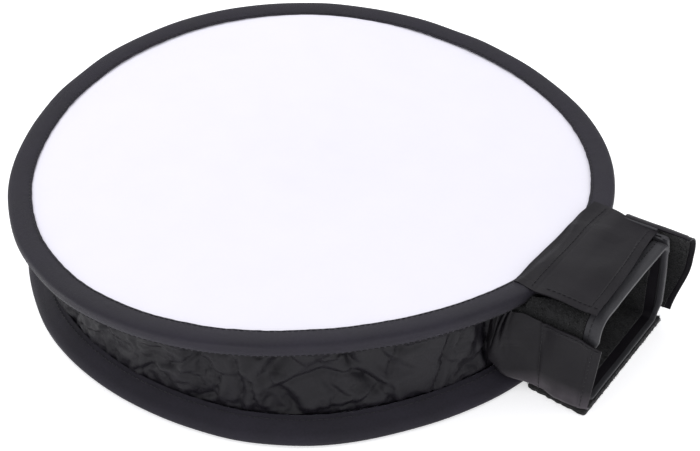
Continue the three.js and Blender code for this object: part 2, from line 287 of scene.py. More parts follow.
def scattered(name, template, origins, forwards, ups, finish, sizes=None):
    """Copies of a small template, one at each origin, turned to its own forward and up directions."""
    points, faces = template
    up = ups / np.linalg.norm(ups, axis=1, keepdims=True)
    side = np.cross(up, forwards)
    side /= np.maximum(np.linalg.norm(side, axis=1, keepdims=True), 1e-9)
    ahead = np.cross(side, up)
    sizes = np.ones(len(origins)) if sizes is None else sizes
    local = points[None] * sizes[:, None, None]
    placed = origins[:, None] + local[..., :1] * ahead[:, None] + local[..., 1:2] * side[:, None]
    placed = placed + local[..., 2:] * up[:, None]
    step = len(points)
    joined = [[v + k * step for v in face] for k in range(len(origins)) for face in faces]
    return new_object(name, placed.reshape(-1, 3), joined, finish)


STITCH = tube_template([(-1.05, 0, -0.22), (-0.8, 0, 0.1), (0, 0, 0.2), (0.8, 0, 0.1), (1.05, 0, -0.22)], 0.2)
LOOP_ARC = [(0.45 * math.cos(t), 0, 0.75 * math.sin(t) - 0.1) for t in np.linspace(0, math.pi, 6)]
PILE_LOOP = tube_template(LOOP_ARC, 0.1, 3)


def stitching(name, path, ups, pitch, finish, closed=False):
    """A row of separate stitches along a path of points, lying on the surface whose normals are ups."""
    line = np.concatenate([path, path[:1]]) if closed else np.asarray(path)
    raised = np.concatenate([ups, ups[:1]]) if closed else np.asarray(ups)
    length = np.linalg.norm(np.diff(line, axis=0), axis=1).sum()
    count = max(3, int(length / pitch))
    both = resample_pairs(line, raised, count + 1)
    spots, lifts = both
    middle = (spots[1:] + spots[:-1]) / 2
    forward = spots[1:] - spots[:-1]
    return scattered(name, STITCH, middle, forward, (lifts[1:] + lifts[:-1]) / 2, finish)


def resample_pairs(line, values, count):
    """Even points along a line, with the values carried by its points."""
    run = np.concatenate([[0], np.cumsum(np.linalg.norm(np.diff(line, axis=0), axis=1))])
    at = np.linspace(0, run[-1], count)
    pick = lambda source: np.stack([np.interp(at, run, source[:, k]) for k in range(3)], -1)
    return pick(line), pick(values)


def pile(name, grid, density, finish, seed, side=1, wrap=False, size=1.0):
    """Hook-and-loop pile standing on one side of a grid, with density loops to the square millimetre."""
    draw = np.random.default_rng(seed)
    rows, columns = grid.shape[:2]
    normal = grid_normals(grid, wrap) * side
    steps = np.linalg.norm(np.cross(np.gradient(grid, axis=0), np.gradient(grid, axis=1)), axis=-1)
    chance = (steps / steps.sum()).ravel()
    count = int(steps.sum() * density)
    pick = draw.choice(rows * columns, count, p=chance)
    i, j = np.clip(pick // columns, 0, rows - 2), np.clip(pick % columns, 0, columns - 2)
    f, g = draw.uniform(0, 1, (2, count, 1))
    near = grid[i, j] * (1 - f) + grid[i + 1, j] * f
    far = grid[i, j + 1] * (1 - f) + grid[i + 1, j + 1] * f
    spot = near * (1 - g) + far * g
    up = normal[i, j] + draw.normal(0, 0.35, (count, 3))
    forward = draw.normal(0, 1, (count, 3))
    return scattered(name, PILE_LOOP, spot, forward, up, finish, size * draw.uniform(0.6, 1.25, count))


# ---- materials ----
class Finish:
    """One material's node tree, with short calls to add and join nodes."""

    def __init__(self, name):
        self.material = bpy.data.materials.new(name)
        self.material.use_nodes = True
        self.tree = self.material.node_tree
        self.shader = self.tree.nodes["Principled BSDF"]

    def node(self, kind, settings=None, **inputs):
        made = self.tree.nodes.new(kind)
        for key, value in (settings or {}).items():
            setattr(made, key, value)
        for key, value in inputs.items():
            self.join(value, made.inputs[key.replace("_", " ")])
        return made

    def join(self, value, socket):
        if isinstance(value, bpy.types.NodeSocket):
            self.tree.links.new(value, socket)
        else:
            socket.default_value = value

    def maths(self, operation, *values):
        made = self.tree.nodes.new("ShaderNodeMath")
        made.operation = operation
        for value, socket in zip(values, made.inputs):
            self.join(value, socket)
        return made.outputs[0]

    def place(self):
        return self.node("ShaderNodeTexCoord").outputs["Object"]

    def noise(self, size, detail=3.0, roughness=0.55):
        """Soft random value with features about size millimetres across."""
        made = self.node("ShaderNodeTexNoise", Vector=self.place())
        made.inputs["Scale"].default_value = 1 / (size * MM)
        made.inputs["Detail"].default_value = detail
        made.inputs["Roughness"].default_value = roughness
        return made.outputs[0]

    def creases(self, size):
        """Distance to the nearest of a net of random lines, 0 on a line: a fine net of sharp creases."""
        made = self.node("ShaderNodeTexVoronoi", {"feature": "DISTANCE_TO_EDGE"}, Vector=self.place())
        made.inputs["Scale"].default_value = 1 / (size * MM)
        return made.outputs[0]

    def threads(self, pitch, twill=0.0):
        """Over-and-under height of a weave with threads pitch millimetres apart; twill slants it."""
        run = self.node("ShaderNodeUVMap", {"uv_map": "cloth"}).outputs[0]
        split = self.node("ShaderNodeSeparateXYZ", Vector=run)
        turn = 2 * math.pi / (pitch * MM)
        u = self.maths("MULTIPLY", split.outputs[0], turn)
        v = self.maths("MULTIPLY", split.outputs[1], turn)
        slanted = self.maths("ADD", u, self.maths("MULTIPLY", v, twill))
        return self.maths("MULTIPLY", self.maths("SINE", slanted), self.maths("SINE", v))

    def blend(self, share, low, high):
        """A colour between two, by share."""
        made = self.tree.nodes.new("ShaderNodeMix")
        made.data_type = "RGBA"
        self.join(share, made.inputs[0])
        made.inputs[6].default_value = (*low, 1)
        made.inputs[7].default_value = (*high, 1)
        return made.outputs[2]

    def spread(self, value, low, high, to_low, to_high):
        made = self.node("ShaderNodeMapRange", Value=value)
        for key, number in (("From Min", low), ("From Max", high), ("To Min", to_low), ("To Max", to_high)):
            made.inputs[key].default_value = number
        return made.outputs[0]

    def bump(self, heights):
        """Bumps one after another, each a (height, depth in millimetres) pair."""
        normal = None
        for height, depth in heights:
            made = self.node("ShaderNodeBump", Height=height)
            made.inputs["Distance"].default_value = depth * MM
            made.inputs["Strength"].default_value = 1.0
            if normal is not None:
                self.join(normal, made.inputs["Normal"])
            normal = made.outputs[0]
        self.join(normal, self.shader.inputs["Normal"])

    def gloss(self, specular=0.5, sheen=0.0, sheen_roughness=0.4, metallic=0.0):
        self.shader.inputs["Specular IOR Level"].default_value = specular
        self.shader.inputs["Sheen Weight"].default_value = sheen
        self.shader.inputs["Sheen Roughness"].default_value = sheen_roughness
        self.shader.inputs["Metallic"].default_value = metallic


def painted_foot_highlight(made, colour, pale, top):
    """The colour, paler in patches below a height in millimetres: a painted highlight on the cloth's low
    foot, where it turns up towards the light.
    """
    height = made.node("ShaderNodeSeparateXYZ", Vector=made.place()).outputs[2]
    low = made.spread(height, 0.3 * top * MM, top * MM, 0.6, 0)
    mask = made.maths("MULTIPLY", low, made.spread(made.noise(9), 0.3, 0.7, 0.45, 1))
    mixed = made.node("ShaderNodeMix", {"data_type": "RGBA"})
    made.join(mask, mixed.inputs[0])
    made.join(colour, mixed.inputs[6])
    mixed.inputs[7].default_value = (*pale, 1)
    return mixed.outputs[2]


def woven(name, dark, light, roughness, pitch, depth, sheen=0.0, specular=0.5, twill=0.0, fold=0.0,
          metallic=0.0, foot_highlight=None):
    """Woven cloth: threads, slow colour drift, fine lint, where fold is set a net of small creases, and if
    asked a painted highlight low down.
    """
    made = Finish(name)
    weave = made.threads(pitch, twill)
    drift = made.spread(made.noise(26), 0.3, 0.7, 0, 1)
    lint = made.noise(1.1, 2.0)
    raised = made.spread(weave, -1, 1, 0, 1)
    tone = made.maths("MULTIPLY_ADD", raised, 0.35, made.maths("MULTIPLY", drift, 0.4))
    tone = made.maths("MULTIPLY_ADD", made.spread(lint, 0.3, 0.7, 0, 1), 0.25, tone)
    colour = made.blend(tone, dark, light)
    made.join(painted_foot_highlight(made, colour, *foot_highlight) if foot_highlight else colour, made.shader.inputs["Base Color"])
    made.join(made.spread(drift, 0, 1, roughness - 0.06, roughness + 0.07), made.shader.inputs["Roughness"])
    heights = [(weave, depth), (lint, depth * 1.4)]
    if fold:
        heights.append((made.spread(made.creases(7.5), 0, 0.12, 0, 1), fold))
        heights.append((made.noise(3.2, 3.0), fold * 1.3))
    made.bump(heights)
    made.gloss(specular, sheen, 0.35, metallic)
    return made.material


def brushed_pile(name, dark, light):
    """Loop tape: matt, speckled, with the odd lighter fibre."""
    made = Finish(name)
    speck = made.noise(0.9, 2.0, 0.7)
    clump = made.noise(4.5)
    tone = made.maths("MULTIPLY", made.spread(speck, 0.46, 0.76, 0, 1), made.spread(clump, 0.3, 0.7, 0.5, 1))
    made.join(made.blend(tone, dark, light), made.shader.inputs["Base Color"])
    made.join(made.spread(speck, 0.3, 0.7, 0.75, 0.95), made.shader.inputs["Roughness"])
    made.bump([(speck, 0.35), (clump, 0.5)])
    made.gloss(0.3, 0.12, 0.6)
    return made.material


def steel(name, colour, roughness):
    """Drawn spring steel: fine lengthwise grain and slight tarnish."""
    made = Finish(name)
    grain = made.noise(0.35, 4.0, 0.7)
    tarnish = made.noise(14)
    made.join(made.blend(tarnish, [c * 0.7 for c in colour], colour), made.shader.inputs["Base Color"])
    uneven = made.spread(grain, 0.3, 0.7, roughness - 0.08, roughness + 0.12)
    made.join(uneven, made.shader.inputs["Roughness"])
    made.bump([(grain, 0.02)])
    made.gloss(0.5, 0.0, 0.4, 1.0)
    return made.material


TAPE = woven("binding_tape", (0.0105, 0.0095, 0.0135), (0.0265, 0.0235, 0.0345), 0.6, 0.55, 0.045,
             sheen=0.05, specular=0.2, twill=0.5)
NYLON = woven("black_nylon", (0.005, 0.0044, 0.0063), (0.0115, 0.0102, 0.0142), 0.44, 0.34, 0.015,
              specular=0.24, fold=0.07)
SMOOTH_NYLON = woven("smooth_nylon", (0.0055, 0.0047, 0.0062), (0.0130, 0.0112, 0.0147), 0.45, 0.4, 0.02,
                     specular=0.15)
# The wing cloth's paler patches below 15 mm are a painted highlight on the near wing's and gussets' feet.
WING_NYLON = woven("wing_nylon", (0.0052, 0.0046, 0.0058), (0.0125, 0.0110, 0.0140), 0.45, 0.4, 0.02,
                   specular=0.15, foot_highlight=((0.115, 0.1, 0.115), 15))
TRIM = woven("lip_ribbon", (0.012, 0.012, 0.014), (0.03, 0.029, 0.035), 0.55, 0.5, 0.035, 0.12, 0.4)
WHITE = woven("diffuser_cloth", (0.795, 0.778, 0.85), (0.825, 0.808, 0.88), 0.85, 0.4, 0.008, 0.0, 0.1)
SILVER = woven("silver_lining", (0.55, 0.56, 0.58), (0.8, 0.81, 0.83), 0.38, 0.4, 0.02,
               fold=0.15, metallic=0.85)
PILE = brushed_pile("loop_pile", (0.0009, 0.0009, 0.0012), (0.022, 0.0215, 0.024))
THREAD = woven("black_thread", (0.004, 0.004, 0.005), (0.014, 0.013, 0.016), 0.6, 0.2, 0.02, 0.1, 0.3)
SPRING = steel("spring_steel", (0.55, 0.57, 0.60), 0.32)
CRIMP = steel("crimp_steel", (0.70, 0.71, 0.73), 0.28)


# ---- joining pieces to the frame ----
def collapse(piece, body="rear"):
    """Rides on a body, with a mesh of its own."""
    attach(piece, body)
    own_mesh(piece)
    return piece


def stands_for(piece, slot, *nodes):
    """Hides the CAD nodes that a piece stands for. The slot is not used."""
    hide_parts(*nodes)


# ---- hoops: spring, crimp, binding and its stitches ----
TURN = np.linspace(0, 2 * math.pi, 721)[:-1]


def ring(name, level, share, section, finish):
    """A closed solid ring with an (r, z) section given anticlockwise, on one of the two hoops."""
    section = np.array(section, float)
    steps = TURN[::2]
    theta = steps[:, None]
    r, z = section[None, :, 0], section[None, :, 1]
    points = around(theta, r + 0 * theta, z + level + 0 * theta, share)
    return new_object(name, points.reshape(-1, 3), grid_faces(*points.shape[:2], True, True), finish)


def spring_band(prefix, level, share):
    """The flat steel band and the crimped sleeve that joins its two ends, opposite the neck."""
    inner, outer, half = HOOP - 4.2, HOOP - 3.2, 1.55
    band = [(inner, -half), (outer, -half), (outer, half), (inner, half)]
    hoop = ring(f"{prefix}_spring", level, share, band, SPRING)
    stands_for(hoop, "spring_steel", f"{prefix}_hoop")
    steps = np.linspace(-6, 6, 25)
    theta = (math.pi + steps / HOOP)[:, None]
    pinch = 0.12 * np.exp(-(((np.abs(steps) - 3) / 0.8) ** 2))[:, None]
    low, high, tall = inner - 0.25, outer + 0.25, 1.8
    section = rounded_loop([(low, -tall), (high, -tall), (high, tall), (low, tall)], [0.25] * 4, 32)
    r = section[None, :, 0] - pinch * np.sign(section[None, :, 0] - (inner + outer) / 2)
    shell = around(theta, r, section[None, :, 1] + level + 0 * theta, share)
    crimp = cloth(f"{prefix}_crimp", np.swapaxes(shell, 0, 1), 0.2, CRIMP, wrap=True)
    stands_for(crimp, "crimp_steel", f"{prefix}_hoop_ferrule")
    return hoop, crimp


# Each binding's section as (radius, height above its hoop's middle), from its lower end to its upper end.
BINDING_LEGS = {
    "front": [(147.4, -5.8), (148.4, -4.4), (149.2, -2.6), (149.5, -0.6), (149.4, 0.9), (148.6, 1.95),
              (146.5, 2.3), (143.5, 2.1), (141, 1.65), (139.4, 1.2), (138, 0.85)],
    "rear": [(138, -0.75), (139.4, -1.2), (142, -1.7), (146, -2.0), (148.6, -1.8), (149.5, -0.8),
             (149.2, 0.6), (147.7, 2.3), (145, 3.9), (141.8, 5.7), (138.8, 7.1)],
}


def binding(prefix, level, share, seed):
    """Tape folded over the hoop: one leg lies on the round sheet, the other leads to the side wall."""
    profile = spline(BINDING_LEGS[prefix], 41)
    theta, across = TURN[:, None], np.linspace(-1, 1, 41)[None]
    r, z = profile[None, :, 0], profile[None, :, 1]
    run = theta * HOOP
    seam = smoothstep(HOOP - 3 - r, 0, 9)
    pucker = 0.07 * ripple(run, 9 * across, 6.5, seed) + 0.07 * ripple(run, 30 * across, 17, seed + 1)
    slack = 0.22 * ripple(run, 0 * run, 60, seed + 2)
    height = z + np.sign(across) * np.abs(pucker) * seam + 0.10 * ripple(run, 5 * across, 38, seed + 3)
    radius = r + slack * (1 - seam * 0.4) + 0.07 * seam * ripple(run, 0 * run, 9, seed + 4)
    grid = around(theta, np.minimum(radius, HOOP - 0.36), height + level, share)
    tape = cloth(f"{prefix}_binding_tape", grid, 0.6, TAPE, wrap=True)
    stands_for(tape, "black_tape", f"{prefix}_binding")
    rows = []
    for label, column in (("top", 37), ("under", 3)):
        normal = grid_normals(grid, True)[:, column]
        lifted = grid[:, column] + normal * 0.3
        row = stitching(f"{prefix}_binding_stitches_{label}", lifted, normal, 2.7, THREAD, closed=True)
        rows.append(row)
    return [tape, *rows]


def hoops():
    for prefix, level, share, seed in (("rear", REAR, 0.0, 11), ("front", FRONT, 1.0, 31)):
        pieces = [*spring_band(prefix, level, share), *binding(prefix, level, share, seed)]
        for piece in pieces:
            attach(piece, prefix)
        for cloth_piece in pieces[2:] if prefix == "rear" else []:  # the rear tape and its stitches get meshes of their own
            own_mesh(cloth_piece)


# ---- diffuser, back panel and silver linings ----
def disc(radii, height_of, share):
    """A round grid from its rim inwards; the hoop's saddle fades towards the middle."""
    theta, r = TURN[::3][:, None], np.array(radii)[None]
    level = height_of(theta, r)
    points = around(theta, r + 0 * theta, level, share)
    stretch = np.clip(r / SEAM, 0, 1) ** 2
    points[..., 2] = level + share * (SADDLE_RISE + (saddle(theta) - SADDLE_RISE) * stretch)
    return points


def round_sheet(name, node, body, slot, grid, thickness, finish):
    """A round cloth on a body, in place of a CAD node, which is hidden."""
    made = cloth(name, grid, thickness, finish, wrap=True, merge=True)
    stands_for(made, slot, node)
    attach(made, body)


def round_sheets():
    rim = SEAM + 2.6
    radii = np.concatenate([np.linspace(rim, SEAM - 16, 16), np.linspace(SEAM - 20, 0, 34)])

    def face(theta, r):
        edge = smoothstep(r, SEAM - 20, SEAM - 1) * smoothstep(SEAM + 1.5 - r, 0, 5)
        pucker = 0.04 * edge * ripple(theta * HOOP, r, 15, 51)
        return FRONT + pucker + 0.25 * ripple(r * np.cos(theta), r * np.sin(theta), 120, 52)

    round_sheet("diffuser_sheet", "diffuser", "front", "white_cloth", disc(radii, face, 1.0), 0.35, WHITE)

    dished = lambda r, middle: middle + (REAR - middle) * smoothstep(r, SEAM - 22, SEAM - 4)

    def back(theta, r):
        x, y = r * np.cos(theta), r * np.sin(theta)
        loose = 1 - smoothstep(r, SEAM - 14, SEAM - 3)
        return dished(r, 0.35) + loose * (0.35 + 0.35 * facets(x, y, 34, 61))

    round_sheet("rear_panel_sheet", "rear_panel", "rear", "black_nylon", disc(radii, back, 0.0), 0.35, NYLON)

    edge = WALL - 2.4

    def shine(theta, r):
        x, y = r * np.cos(theta), r * np.sin(theta)
        return dished(r, 1.6) + 0.5 + 0.35 * facets(x, y, 26, 71) * (1 - smoothstep(r, edge - 20, edge - 4))

    round_sheet("rear_silver_sheet", "rear_reflector", "rear", "silver_cloth",
                disc(radii * edge / rim, shine, 0.0), 0.25, SILVER)


# ---- side wall ----
WALL_FROM, WALL_TO = math.radians(16), math.radians(360 - 15.5)  # the neck's throat is left out
WALL_LOW, WALL_HIGH = REAR + 5.9, FRONT - 4.3  # it is sewn to the bindings' sloping legs

# Folds of the near side, as (degrees, height) lines with a depth and a half width.
FOLDS = [
    ([(-37.5, 45), (-41, 26), (-40, 6)], 1.5, 1.5),
    ([(-27.0, 46), (-29.8, 25), (-32.6, 5)], 1.6, 1.4),
    ([(-18.8, 46), (-19.2, 30), (-18.6, 16), (-16, 4)], 2.6, 2.4),
    ([(-50, 46), (-47.5, 30), (-43, 20)], 2.4, 2.8),
    ([(-44, 44), (-41, 34)], 1.3, 1.2),
    ([(-61, 25), (-54, 29.5), (-48, 28.5), (-42, 21)], 1.2, 1.3),
    ([(-59, 44), (-61.5, 36), (-64.5, 28)], 2.4, 3.0),
    ([(-70, 34), (-68.5, 18), (-70, 6)], 1.7, 1.5),
    ([(-67, 24), (-66, 7)], 1.3, 1.3),
    ([(-61.5, 22), (-57.5, 8)], 1.9, 2.4),
    ([(-54, 10), (-47, 13), (-42, 20)], 1.0, 1.3),
    ([(-77.5, 34), (-83, 25), (-86, 22)], 1.2, 1.0),
    ([(-77.5, 34), (-73, 25), (-74, 14), (-80, 6)], 1.5, 1.3),
    ([(-86, 37), (-80, 36), (-72, 38)], 1.4, 1.8),
    ([(-90, 30), (-84, 32)], 0.8, 0.9),
    ([(-98, 35), (-97.5, 22)], 1.3, 0.9),
    ([(-103, 26), (-98, 27), (-94, 26)], 1.2, 0.9),
    ([(-110, 14), (-102, 20)], 1.0, 1.0),
    ([(-92, 12), (-87, 20), (-82, 12)], 0.9, 1.1),
]
BULGES = [(-79.5, 19, 9, 1.8), (-34.5, 24, 12, 1.1), (-66, 12, 6, 1.2), (-24, 25, 10, 0.8), (-56, 19, 8, 1.3)]


def fold_lines(run, height, folds):
    """Inward displacement of creased cloth: a valley on each line with a low ridge beside it."""
    total = np.zeros(run.shape)
    for line, depth, width in folds:
        line = [(math.radians(angle) * WALL, z) for angle, z in line]
        near = np.full(run.shape, 1e9)
        signed = np.zeros(run.shape)
        for (u0, v0), (u1, v1) in zip(line, line[1:]):
            du, dv = u1 - u0, v1 - v0
            t = np.clip(((run - u0) * du + (height - v0) * dv) / (du * du + dv * dv), 0, 1)
            gap_u, gap_v = run - u0 - t * du, height - v0 - t * dv
            away = np.hypot(gap_u, gap_v)
            signed = np.where(away < near, np.sign(du * gap_v - dv * gap_u) * away, signed)
            near = np.minimum(near, away)
        total -= depth * np.exp(-((near / width) ** 2))
        total += 0.5 * depth * np.exp(-(((signed - 2.2 * width) / (1.7 * width)) ** 2)) * (near < 8 * width)
    return total


def relaxed(grid, longer, frames, limit):
    """The grid after a short cloth simulation with cloth that is a little too long for its frame."""
    rows, columns = grid.shape[:2]
    test = new_object("cloth_test", grid.reshape(-1, 3), grid_faces(rows, columns), NYLON)
    held = test.vertex_groups.new(name="held")
    edge = np.zeros((rows, columns), bool)
    edge[:, [0, -1]] = True
    edge[[0, -1]] = True
    held.add(np.flatnonzero(edge.ravel()).tolist(), 1.0, "REPLACE")
    made = test.modifiers.new("drape", "CLOTH")
    settings = made.settings
    settings.quality = 5
    settings.mass = 0.08
    settings.tension_stiffness = 18
    settings.compression_stiffness = 18
    settings.shear_stiffness = 6
    settings.bending_stiffness = 3.0
    settings.shrink_min = -longer
    settings.shrink_max = -longer
    settings.vertex_group_mass = "held"
    settings.effector_weights.gravity = 0
    settings.air_damping = 4
    made.collision_settings.use_collision = False
    made.point_cache.frame_end = frames
    scene = bpy.context.scene
    for step in range(1, frames + 1):
        scene.frame_set(step)
    shape = test.evaluated_get(bpy.context.evaluated_depsgraph_get()).data
    moved = np.zeros(len(shape.vertices) * 3)
    shape.vertices.foreach_get("co", moved)
    moved = moved.reshape(rows, columns, 3) / MM
    bpy.data.objects.remove(test)
    scene.frame_set(1)
    step = moved - grid
    size = np.linalg.norm(step, axis=-1, keepdims=True)
    return grid + step * np.minimum(1, limit / np.maximum(size, 1e-6))


def refined(grid, rows, columns):
    """The same surface on a finer grid, by smooth interpolation."""
    down = np.stack([spline(line, columns) for line in grid])
    return np.stack([spline(down[:, k], rows) for k in range(columns)], 1)


def wall_radius(height):
    """The wall stands just outside the seam's radius, and turns out at its top to the binding's leg."""
    share = (height - WALL_LOW) / (WALL_HIGH - WALL_LOW)
    return WALL + 0.9 + 1.2 * share + 6.0 * smoothstep(height, WALL_HIGH - 7, WALL_HIGH)


def side_wall():
    rows, columns = 400, 27
    theta = np.linspace(WALL_FROM - 2 * math.pi, WALL_TO - 2 * math.pi, rows)[:, None]
    height = np.linspace(WALL_LOW, WALL_HIGH, columns)[None]
    run = theta * WALL
    inside = np.sin(math.pi * np.clip((height - WALL_LOW) / (WALL_HIGH - WALL_LOW), 0, 1)) ** 0.5
    calm = 0.25 + 0.75 * smoothstep(-np.degrees(theta), 38, 62) * smoothstep(360 + np.degrees(theta), 15, 40)
    rough = 1.2 * facets(run, height, 19, 81) + 0.5 * facets(run, height * 1.3, 8, 84)
    radius = wall_radius(height) + inside * calm * (rough - 0.6)
    grid = around(theta, radius, height + 0 * theta)
    grid = relaxed(grid, 0.035, 14, 2.2)
    grid = refined(grid, 780, 49)
    theta = np.linspace(theta[0, 0], theta[-1, 0], 780)[:, None]
    height = np.linspace(WALL_LOW, WALL_HIGH, 49)[None]
    inside = smoothstep(height, WALL_LOW, WALL_LOW + 5) * smoothstep(-height, -WALL_HIGH, -WALL_HIGH + 5)
    run = theta * WALL + 0 * height
    push = fold_lines(run, height + 0 * theta, FOLDS)
    for angle, z, size, rise in BULGES:
        away = np.hypot(run - math.radians(angle) * WALL, height - z)
        push = push + rise * np.exp(-((away / size) ** 4))
    outward = around(theta, 1.0, height + 0 * theta)
    outward[..., 2] = 0
    outward /= np.linalg.norm(outward, axis=-1, keepdims=True)
    grid = grid + outward * (push * inside)[..., None]
    wall = collapse(cloth("side_wall_sheet", grid, 0.3, NYLON))
    stands_for(wall, "black_nylon", "side_wall")

    theta = np.linspace(WALL_FROM, WALL_TO, 300)[:, None]
    height = np.linspace(WALL_LOW + 1.2, WALL_HIGH - 0.6, 21)[None]
    sag = np.sin(math.pi * (height - height[0, 0]) / (height[0, -1] - height[0, 0])) ** 0.6
    inward = 3.4 + sag * (5.0 + 0.5 * facets(theta * WALL, height, 14, 91))
    inner = around(theta, WALL - inward, height + 0 * theta)
    lining = collapse(cloth("side_silver_sheet", inner, 0.25, SILVER))
    stands_for(lining, "silver_cloth", "side_reflector")


# ---- neck: sleeve, lining, lip, gussets and patches ----
# The mouth's outline as (y, z) corners, anticlockwise seen from the mouth, starting at the near foot.
MOUTH_CORNERS = [(-SLEEVE, FLOOR), (SLEEVE, FLOOR), (SLEEVE + 1.4, ROOF - 8), (SLEEVE - 0.6, ROOF + 0.6),
                 (-SLEEVE, ROOF)]
MOUTH_ROUNDS = [5, 4, 12, 7, 11]


def mouth_loop(count, inset=0.0):
    """The mouth's outline, inset towards the middle of the bore."""
    loop = rounded_loop(MOUTH_CORNERS, MOUTH_ROUNDS, count)
    step = np.roll(loop, -1, 0) - np.roll(loop, 1, 0)
    out = np.stack([step[:, 1], -step[:, 0]], -1)
    return loop - out / np.linalg.norm(out, axis=1, keepdims=True) * inset


def sleeve_grid(inset, x_from, x_to, seed, count=220, steps=40):
    """The sleeve's cloth between two places along the neck, a little slack between its seams."""
    loop = mouth_loop(count, inset)
    t = np.linspace(0, 1, steps)[None]
    y, z = loop[:, :1] + 0 * t, loop[:, 1:] + 0 * t
    root = 1 - smoothstep(x_from + (x_to - x_from) * t, 146, 158)
    z = np.where(z > 28, z - root * 4.0, z + root * 1.0)
    girth = np.linspace(0, 220, count)[:, None]
    x = x_from + (x_to - x_from) * t + 0 * y
    slack = 0.35 * ripple(girth, x, 23, seed) + 0.25 * facets(girth, x, 12, seed + 1)
    slack = slack * smoothstep(MOUTH - x, 1, 9)
    out = grid_normals(np.stack([x, y, z], -1), True)
    return np.stack([x, y, z], -1) + out * slack[..., None]


def neck():
    grid = sleeve_grid(0.0, HOOP - 13, MOUTH, 101)
    sleeve = collapse(cloth("neck_sleeve", grid, 0.4, SMOOTH_NYLON, wrap=True))
    stands_for(sleeve, "black_nylon", "neck_floor", "neck_roof", "neck_near_wall", "neck_far_wall")

    grid = sleeve_grid(1.1, HOOP - 6, MOUTH - 4.6, 111)
    loops = collapse(pile("neck_lining_pile", grid, 0.75, PILE, 112, side=-1, wrap=True))
    lining = collapse(cloth("neck_lining", grid, 0.45, PILE, wrap=True))
    stands_for(lining, "black_pile", "neck_floor_lining", "neck_roof_lining", "neck_near_lining",
               "neck_far_lining")


def lip():
    """Ribbon rolled over the mouth's edge, with a row of stitches on its outer leg."""
    loop = mouth_loop(260)
    out = mouth_loop(260, -1.0) - loop
    legs = spline([(-7.6, 1.0), (-4.5, 1.15), (-1.6, 1.25), (-0.35, 0.8), (-0.3, 0), (-0.35, -0.75),
                   (-0.9, -1.05), (-1.7, -1.1), (-2.6, -1.0)], 31)
    girth = np.linspace(0, 222, 260)[:, None]
    wave = 0.12 * ripple(girth, 0 * girth, 13, 121) + 0.10 * ripple(girth, 4 * legs[None, :, 0], 31, 122)
    on_floor = smoothstep(-loop[:, 1:], -17, -6)
    offset = (legs[None, :, 1] + wave) * (1 - 0.6 * on_floor)
    below_roof = 1 - smoothstep(loop[:, 1:], 34, 42)
    behind_wing = 3.0 * smoothstep(-loop[:, :1], SLEEVE - 3, SLEEVE - 0.5) * below_roof
    x = LIP_END + legs[None, :, 0] + 0.25 * ripple(girth, 0 * girth, 40, 123) - behind_wing - 1.6 * on_floor
    grid = np.stack([x + 0 * offset, loop[:, None, 0] + out[:, None, 0] * offset,
                     loop[:, None, 1] + out[:, None, 1] * offset], -1)
    ribbon = collapse(cloth("lip_ribbon_sheet", grid, 0.4, TRIM, wrap=True))
    stands_for(ribbon, "grey_trim", "lip_floor", "lip_roof", "lip_near", "lip_far")
    normal = grid_normals(grid, True)[:, 3]
    row = collapse(stitching("lip_stitches", grid[:, 3] + normal * 0.2, normal, 2.6, THREAD, closed=True))


# Folds of each gusset: share along it, top and bottom height, lean, depth, and half width as a share.
GUSSET_FOLDS = (
    (0.36, 48, 27, 0.03, 1.9, 0.035),
    (0.50, 48, 31, 0.05, 1.5, 0.03),
    (0.24, 44, 20, 0.04, 1.1, 0.04),
    (0.62, 40, 18, 0.10, 0.6, 0.05),
)


def gusset(side, label, mid_plan, top_plan, seed):
    """Cloth that bulges from the side wall to the sleeve; its foot rolls under and rises towards the wall."""
    rows, columns = 90, 70
    middle, upper = spline(mid_plan, rows), spline(top_plan, rows)
    a = np.linspace(0, 1, rows)[:, None]
    b = np.linspace(0, 1, columns)[None]
    foot = spline([(0, 20), (0.2, 18), (0.4, 16), (0.6, 12.5), (0.8, 7.5), (1, WING_FOOT - 1.2)], rows)[:, 1:]
    head = spline([(0, 45), (0.2, 46), (0.4, 46.5), (0.6, 47), (0.8, 46.8), (1, 43.6)], rows)[:, 1:]
    under = 0.16  # share of the cloth that rolls under the neck
    turn = np.clip(1 - b / under, 0, 1) * math.pi / 2
    rise = np.clip((b - under) / (1 - under), 0, 1)
    radius = 2.4 + 2.6 * (1 - a)
    z = foot + radius * (1 - np.sin(turn)) + (head - foot - radius) * rise
    lean = rise**2.2
    plan = middle[:, None] * (1 - lean[..., None]) + upper[:, None] * lean[..., None]
    belly = 0.8 * np.sin(math.pi * rise)
    inward = radius * (1 - np.cos(turn))
    y = plan[..., 1] + side * (belly - inward)
    x = plan[..., 0] + 0 * y
    grid = np.stack([x, y, z + 0 * y], -1)
    run = a * 30 + 0 * b
    tall = z
    fold = 0.5 * ripple(run, tall, 14, seed) + 0.55 * facets(run, tall, 9, seed + 1)
    for at, top, bottom, lean_to, depth, width in GUSSET_FOLDS:
        line = at + lean_to * (top - tall) / (top - bottom)
        reach = smoothstep(tall, bottom - 4, bottom + 8)
        fold = fold - depth * reach * np.exp(-(((a - line) / width) ** 2))
    ends = smoothstep(a, 0, 0.1) * smoothstep(1 - a, 0, 0.12)
    normal = grid_normals(grid, False) * np.where(side < 0, 1, -1)
    grid = grid + normal * (fold * ends)[..., None]
    made = collapse(cloth(f"{label}_gusset_sheet", grid, 0.35, WING_NYLON))
    stands_for(made, "black_nylon", f"{label}_gusset")


